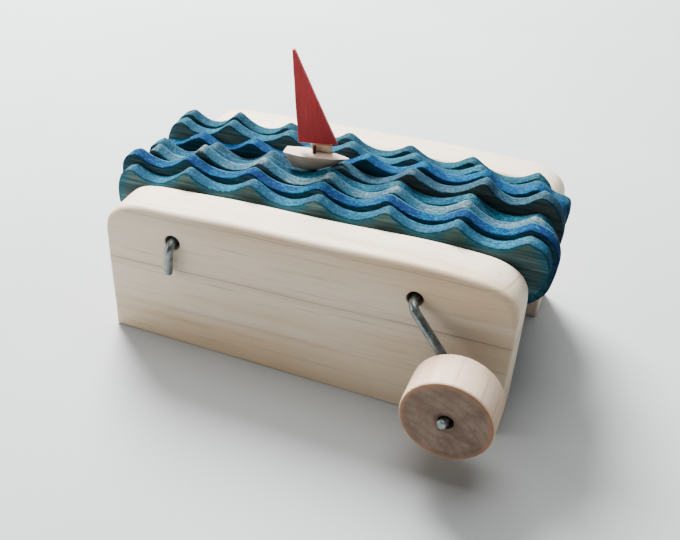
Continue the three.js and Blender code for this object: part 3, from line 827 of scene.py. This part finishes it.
class TOYBOAT_OT_plates(bpy.types.Operator):
    """Build the two end plates, the hidden base board and the dowels' finish"""
    bl_idname = "toyboat.plates"
    bl_label = "End Plates"

    def execute(self, context):
        settings = context.scene.toyboat_plates
        end_plate("front_plate", settings, FRONT_LINES, 0.0, 1)
        end_plate("back_plate", settings, BACK_LINES, 0.31, 2)
        self.base_board(settings)
        dowel = pale_wood("dowel wood", DOWEL_WOOD, DOWEL_DARK, (), 0.5)
        for node in frame["nodes"]:
            if node.startswith("base_dowel"):
                materials = frame["nodes"][node].data.materials
                materials.clear()
                materials.append(dowel)
        return {"FINISHED"}

    def base_board(self, settings):
        low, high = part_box("base_board")
        bm = eased_block(high - low, (low + high) / 2, 0.0006)
        material = pale_wood("base board wood", colour(settings.wood), colour(settings.dark_wood),
                             BASE_LINES, 0.77)
        piece = shown_object("base_board_sanded", bm, [material])
        settle(piece, "base_board")


def catmull_rom(points, steps):
    """A smooth line through the points, with the given steps between each pair."""
    line = []
    padded = [points[0]] + list(points) + [points[-1]]
    for n in range(1, len(padded) - 2):
        p0, p1, p2, p3 = (Vector(p) for p in padded[n - 1:n + 3])
        for step in range(steps):
            t = step / steps
            line.append(0.5 * ((2 * p1) + (p2 - p0) * t + (2 * p0 - 5 * p1 + 4 * p2 - p3) * t * t
                               + (3 * p1 - p0 - 3 * p2 + p3) * t ** 3))
    line.append(Vector(points[-1]))
    return line


def keel_depth(s):
    """Depth of the hull below its deck in mm, from the stern at 0 to the bow at 1."""
    return HULL_DEPTH * (1 - 0.95 * s ** 2.6)


def board_outline(spec, settings, number):
    """Counter-clockwise outline in metres: bottom, right end, wave top, left end.

    Each point also gets its place on the wave: crest 1 to -1 in a trough, and slope.
    """
    crests = [Vector(crest) for crest in spec["crests"]]
    top = []
    for n in range((len(crests) - 1) * settings.points + 1):
        wave = min(n // settings.points, len(crests) - 2)
        angle = 2 * math.pi * (n / settings.points - wave)
        step = (angle - settings.sharpness * math.sin(angle)) / (2 * math.pi)
        point = crests[wave].lerp(crests[wave + 1], step)
        point.y -= spec["depth"] * (1 - math.cos(angle)) / 2
        s = (point.x - BOAT_ALONG) / HULL_LENGTH + 0.5
        if number == BOAT_BOARD and 0 < s < 1:
            point.y = min(point.y, DECK_LEVEL - keel_depth(s) - HULL_GAP)
        top.append((point, math.cos(angle), math.sin(angle)))
    right = catmull_rom([top[-1][0]] + [Vector(p) for p in spec["right"]], 6)
    left = catmull_rom([top[0][0]] + [Vector(p) for p in spec["left"]], 6)

    def end_rows(line, side):
        rows = []
        for n, point in enumerate(line[1:]):
            down = min(1.0, n / 10)
            rows.append((point, 1 - 1.6 * down, side * min(1.0, n / 6)))
        return rows

    left_rows, right_rows = end_rows(left, -1), end_rows(right, 1)
    bottom = [(left[-1].lerp(right[-1], n / 12), -0.6, 0.0) for n in range(1, 12)]
    rows = left_rows + bottom + list(reversed(right_rows)) + list(reversed(top))
    pivot = Vector((HOLE_MIDDLE.x, HOLE_MIDDLE.z)) / MM
    turn = Matrix.Rotation(STACK_TILT, 2)
    outline, inner = [], []
    for point, crest, slope in rows:
        wobble = noise.noise(Vector((point.x * 0.35, point.y * 0.35, number * 9.7)))
        fine = noise.noise(Vector((point.x * 1.1, point.y * 1.1, number * 4.1 + 50)))
        stray = (wobble + fine * 0.35) * settings.wobble / MM
        spine = Vector((min(max(point.x, -40.0), 40.0), 30.0))
        drawn_in = point + (spine - point).normalized() * settings.soak_depth / MM
        for line, place in ((outline, point + Vector((0, stray))), (inner, drawn_in)):
            moved = pivot + turn @ (place - pivot)
            line.append((moved.x * MM, moved.y * MM))
    marks = {"crest": [row[1] for row in rows], "slope": [row[2] for row in rows]}
    return outline, inner, marks


class TOYBOAT_OT_waves(bpy.types.Operator):
    """Build the eight stained wave boards"""
    bl_idname = "toyboat.waves"
    bl_label = "Wave Boards"

    def execute(self, context):
        settings = context.scene.toyboat_waves
        for number, spec in enumerate(BOARDS, start=1):
            node = f"wave_board_{number}"
            low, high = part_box(node)
            pin = joint_place(f"wave_{number}_orbit")
            other = pin + IDLE_AXIS - DRIVE_AXIS
            holes = [(place.x, place.z, settings.hole / 2) for place in (pin, other)]
            outline, inner, marks = board_outline(spec, settings, number)
            bm = bmesh.new()
            sanded_slab(bm, outline, low.y, high.y, settings.edge_rounding, holes,
                        hole_easing=0.0002, edge_material=1, steps=3, inner=inner, marks=marks)
            keep_inside(bm, node)
            materials = [stained_board(f"board {number} face", spec, number, False),
                         stained_board(f"board {number} sawn edge", spec, number, True)]
            piece = shown_object(f"wave_board_{number}_stained", bm, materials)
            settle(piece, node)
        return {"FINISHED"}


class TOYBOAT_OT_cranks(bpy.types.Operator):
    """Build the two bent-wire cranks and the knob"""
    bl_idname = "toyboat.cranks"
    bl_label = "Cranks and Knob"

    def execute(self, context):
        settings = context.scene.toyboat_cranks
        zinc = zinc_wire("zinc wire", colour(settings.zinc))
        for node in ("drive_crank_wire", "idle_crank_wire"):
            bm = merged_copy(node)
            piece = shown_object(f"{node}_drawn", bm, [zinc])
            subdivide(piece, 1)
            settle(piece, node)
        self.knob(settings)
        return {"FINISHED"}

    def knob(self, settings):
        low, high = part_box("crank_knob")
        radius = (high.x - low.x) / 2
        bore = KNOB_BORE
        chamfer = settings.knob_chamfer
        profile = [(bore, low.y + 0.0012), (bore + 0.0001, low.y + 0.0003), (bore + 0.00035, low.y)]
        for n in range(1, 6):
            profile.append((bore + (radius - chamfer - bore) * n / 6, low.y))
        for n in range(7):
            angle = math.pi / 2 * n / 6
            profile.append((radius - chamfer + chamfer * math.sin(angle),
                            low.y + chamfer * (1 - math.cos(angle))))
        for n in range(7):
            angle = math.pi / 2 * n / 6
            profile.append((radius - chamfer + chamfer * math.cos(angle),
                            high.y - chamfer + chamfer * math.sin(angle)))
        for n in range(1, 6):
            profile.append((radius - chamfer + (bore + 0.0003 - radius + chamfer) * n / 6, high.y))
        profile += [(bore + 0.0003, high.y), (bore, high.y - 0.0003)]
        bm = bmesh.new()
        verts = [bm.verts.new((KNOB_AXIS.x + r, y, KNOB_AXIS.z)) for r, y in profile]
        edges = [bm.edges.new((verts[n - 1], verts[n])) for n in range(len(verts))]
        bmesh.ops.spin(bm, geom=verts + edges, cent=KNOB_AXIS, axis=(0, 1, 0), angle=2 * math.pi,
                       steps=KNOB_SEGMENTS, use_merge=True)
        bmesh.ops.remove_doubles(bm, verts=bm.verts, dist=1e-6)
        keep_inside(bm, "crank_knob")
        bmesh.ops.recalc_face_normals(bm, faces=bm.faces)
        for face in bm.faces:
            face.smooth = True
            face.material_index = 1 if abs(face.normal.y) > 0.75 else 0
        materials = [knob_long_grain("knob long grain", colour(settings.knob_side)),
                     knob_end_grain("knob end grain", colour(settings.knob_end), KNOB_RIM_BROWN)]
        piece = shown_object("crank_knob_turned", bm, materials)
        settle(piece, "crank_knob")


def boat_matrix(extra_yaw=0.0):
    """From the boat's own frame, deck middle at the origin and bow towards +X, to its seat."""
    pivot = Vector((HOLE_MIDDLE.x, HOLE_MIDDLE.z))
    local = Vector((BOAT_ALONG * MM, DECK_LEVEL * MM)) - pivot
    seat = pivot + Matrix.Rotation(STACK_TILT, 2) @ local
    low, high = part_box(f"wave_board_{BOAT_BOARD}")
    place = Matrix.Translation((seat.x, (low.y + high.y) / 2, seat.y))
    level = Matrix.Rotation(-STACK_TILT, 4, "Y")
    return place @ level @ Matrix.Rotation(HULL_YAW + extra_yaw, 4, "Z")


class TOYBOAT_OT_boat(bpy.types.Operator):
    """Build the hull, the block under the sail, the sail and its pin"""
    bl_idname = "toyboat.boat"
    bl_label = "Boat"

    def execute(self, context):
        settings = context.scene.toyboat_boat
        self.hull(settings)
        self.sail(settings)
        self.block()
        self.pin()
        return {"FINISHED"}

    def hull(self, settings):
        bm = bmesh.new()
        bmesh.ops.create_cube(bm, size=1)
        bmesh.ops.subdivide_edges(bm, edges=bm.edges, cuts=23, use_grid_fill=True)
        for vert in bm.verts:
            s = vert.co.x + 0.5
            across = vert.co.y * 2
            down = 0.5 - vert.co.z
            stern = min(1.0, 0.52 + 1.7 * s) ** 0.8
            bow = max(0.0, 1 - s ** 2.6) ** 0.8
            half = max(0.14, HULL_BEAM / 2 * stern * bow)
            flare = 1 - 0.54 * down ** 1.7
            rake = 2.3 * down * (1 - s) - 0.8 * down * s * s
            vert.co = Vector((HULL_LENGTH * (s - 0.5) + rake, across * half * flare,
                              -max(0.14, keel_depth(s)) * down)) * MM
        bmesh.ops.transform(bm, matrix=boat_matrix(), verts=bm.verts)
        hand_wobble(bm, 0.00014, 240.0, 5)
        keep_inside(bm, "boat_hull")
        bmesh.ops.recalc_face_normals(bm, faces=bm.faces)
        shade_smooth(bm)
        wood = hull_wood("hull wood", colour(settings.hull_wood))
        piece = shown_object("boat_hull_carved", bm, [wood])
        round_off(piece, settings.roundness, 2, 40)
        settle(piece, "boat_hull")

    def sail(self, settings):
        aft = SAIL_AHEAD - SAIL_FOOT / 2
        corners = [Vector(corner) * MM for corner in (
            (aft, 0), (aft + SAIL_FOOT, 0), (aft + SAIL_LEAN + SAIL_TIP, SAIL_HEIGHT),
            (aft + SAIL_LEAN, SAIL_HEIGHT))]
        outline = []
        for n, corner in enumerate(corners):
            after = corners[(n + 1) % 4]
            count = 3 if n == 2 else 16
            for step in range(count):
                outline.append(tuple(corner.lerp(after, step / count)))
        bm = bmesh.new()
        half = SAIL_THICK / 2 * MM
        sanded_slab(bm, outline, -half, half, 0.16 * MM, edge_material=1, steps=3)
        foot = Vector((0, SAIL_BACK, GLUE_GAP + BLOCK[2] + GLUE_GAP)) * MM
        bmesh.ops.translate(bm, verts=bm.verts, vec=foot)
        bmesh.ops.transform(bm, matrix=boat_matrix(SAIL_YAW), verts=bm.verts)
        hand_wobble(bm, 0.00010, 180.0, 8)
        keep_inside(bm, "boat_sail")
        red, edge = colour(settings.sail_red), colour(settings.sail_edge)
        # The second finish covers the sail's rims: wear plus a painted highlight.
        materials = [sail_paint("sail red", red, edge, False),
                     sail_paint("sail worn edge", red, edge, True)]
        piece = shown_object("boat_sail_stained", bm, materials)
        settle(piece, "boat_sail")

    def block(self):
        middle = Vector((*BLOCK_PLACE, GLUE_GAP + BLOCK[2] / 2)) * MM
        bm = eased_block(Vector(BLOCK) * MM, middle, 0.00025)
        bmesh.ops.transform(bm, matrix=boat_matrix(), verts=bm.verts)
        keep_inside(bm, "sail_block")
        shade_smooth(bm)
        piece = shown_object("sail_block_cut", bm, [hull_wood("block wood", BLOCK_WOOD)])
        settle(piece, "sail_block")

    def pin(self):
        bm = merged_copy("boat_pin")
        piece = shown_object("boat_pin_round", bm, [dark_pin("dark pin")])
        round_off(piece, 0.00012, 2, 50)
        settle(piece, "boat_pin")


class TOYBOAT_OT_stage(bpy.types.Operator):
    """Build the plain floor, the soft studio light and the camera"""
    bl_idname = "toyboat.stage"
    bl_label = "Stage"

    def execute(self, context):
        settings = context.scene.toyboat_stage
        self.floor()
        self.lights(context.scene)
        self.camera(context.scene, settings)
        return {"FINISHED"}

    def floor(self):
        bm = bmesh.new()
        bmesh.ops.create_grid(bm, x_segments=8, y_segments=8, size=3.0)
        floor = shown_object("floor", bm, [stage_floor("plain pale floor")])

    def lights(self, scene):
        world = bpy.data.worlds.new("soft room")
        world.use_nodes = True
        background = world.node_tree.nodes["Background"]
        background.inputs["Color"].default_value = ROOM_TINT
        background.inputs["Strength"].default_value = ROOM_STRENGTH
        scene.world = world
        for name, place, size, power, tint in LAMPS:
            lamp = bpy.data.lights.new(name, "AREA")
            lamp.shape = "DISK"
            lamp.size = size
            lamp.energy = power
            lamp.color = tint
            holder = bpy.data.objects.new(name, lamp)
            holder.location = place
            aim = LAMP_AIM - Vector(place)
            holder.rotation_euler = aim.to_track_quat("-Z", "Y").to_euler()
            scene.collection.objects.link(holder)

    def camera(self, scene, settings):
        data = bpy.data.cameras.new("camera")
        data.lens = settings.lens
        data.sensor_width = 36
        data.clip_start = 0.005
        turn, rise, roll = settings.view_turn, settings.view_rise, settings.view_roll
        forward = Vector((-math.sin(turn) * math.cos(rise), math.cos(turn) * math.cos(rise),
                          -math.sin(rise)))
        right = forward.cross(Vector((0, 0, 1))).normalized()
        down = forward.cross(right)
        rolled_right = right * math.cos(roll) + down * math.sin(roll)
        rolled_down = down * math.cos(roll) - right * math.sin(roll)
        matrix = Matrix((rolled_right, -rolled_down, -forward)).transposed().to_4x4()
        matrix.translation = Vector(settings.camera_place)
        holder = bpy.data.objects.new("camera", data)
        holder.matrix_world = matrix
        scene.collection.objects.link(holder)
        scene.camera = holder


class TOYBOAT_PT_panel(bpy.types.Panel):
    """Lists the toy boat's pieces"""
    bl_label = "Toy Boat"
    bl_idname = "TOYBOAT_PT_panel"
    bl_space_type = "VIEW_3D"
    bl_region_type = "UI"
    bl_category = "Toy Boat"

    def draw(self, context):
        layout = self.layout
        for group, operator in (("toyboat_plates", "toyboat.plates"), ("toyboat_waves", "toyboat.waves"),
                                ("toyboat_cranks", "toyboat.cranks"), ("toyboat_boat", "toyboat.boat"),
                                ("toyboat_stage", "toyboat.stage")):
            box = layout.box()
            settings = getattr(context.scene, group)
            for key in settings.__annotations__:
                box.prop(settings, key)
            box.operator(operator)


SETTINGS = (
    ("toyboat_plates", PlateSettings),
    ("toyboat_waves", WaveSettings),
    ("toyboat_boat", BoatSettings),
    ("toyboat_cranks", CrankSettings),
    ("toyboat_stage", StageSettings),
)
OPERATORS = (TOYBOAT_OT_plates, TOYBOAT_OT_waves, TOYBOAT_OT_cranks, TOYBOAT_OT_boat, TOYBOAT_OT_stage)


def register():
    for name, group in SETTINGS:
        bpy.utils.register_class(group)
        setattr(bpy.types.Scene, name, PointerProperty(type=group))
    for operator in OPERATORS:
        bpy.utils.register_class(operator)
    bpy.utils.register_class(TOYBOAT_PT_panel)


def unregister():
    bpy.utils.unregister_class(TOYBOAT_PT_panel)
    for operator in reversed(OPERATORS):
        bpy.utils.unregister_class(operator)
    for name, group in reversed(SETTINGS):
        delattr(bpy.types.Scene, name)
        bpy.utils.unregister_class(group)


def main():
    register()
    bpy.ops.toyboat.plates()
    bpy.ops.toyboat.waves()
    bpy.ops.toyboat.cranks()
    bpy.ops.toyboat.boat()
    bpy.ops.toyboat.stage()
    bpy.context.view_layer.update()


if __name__ == "__main__":
    main()
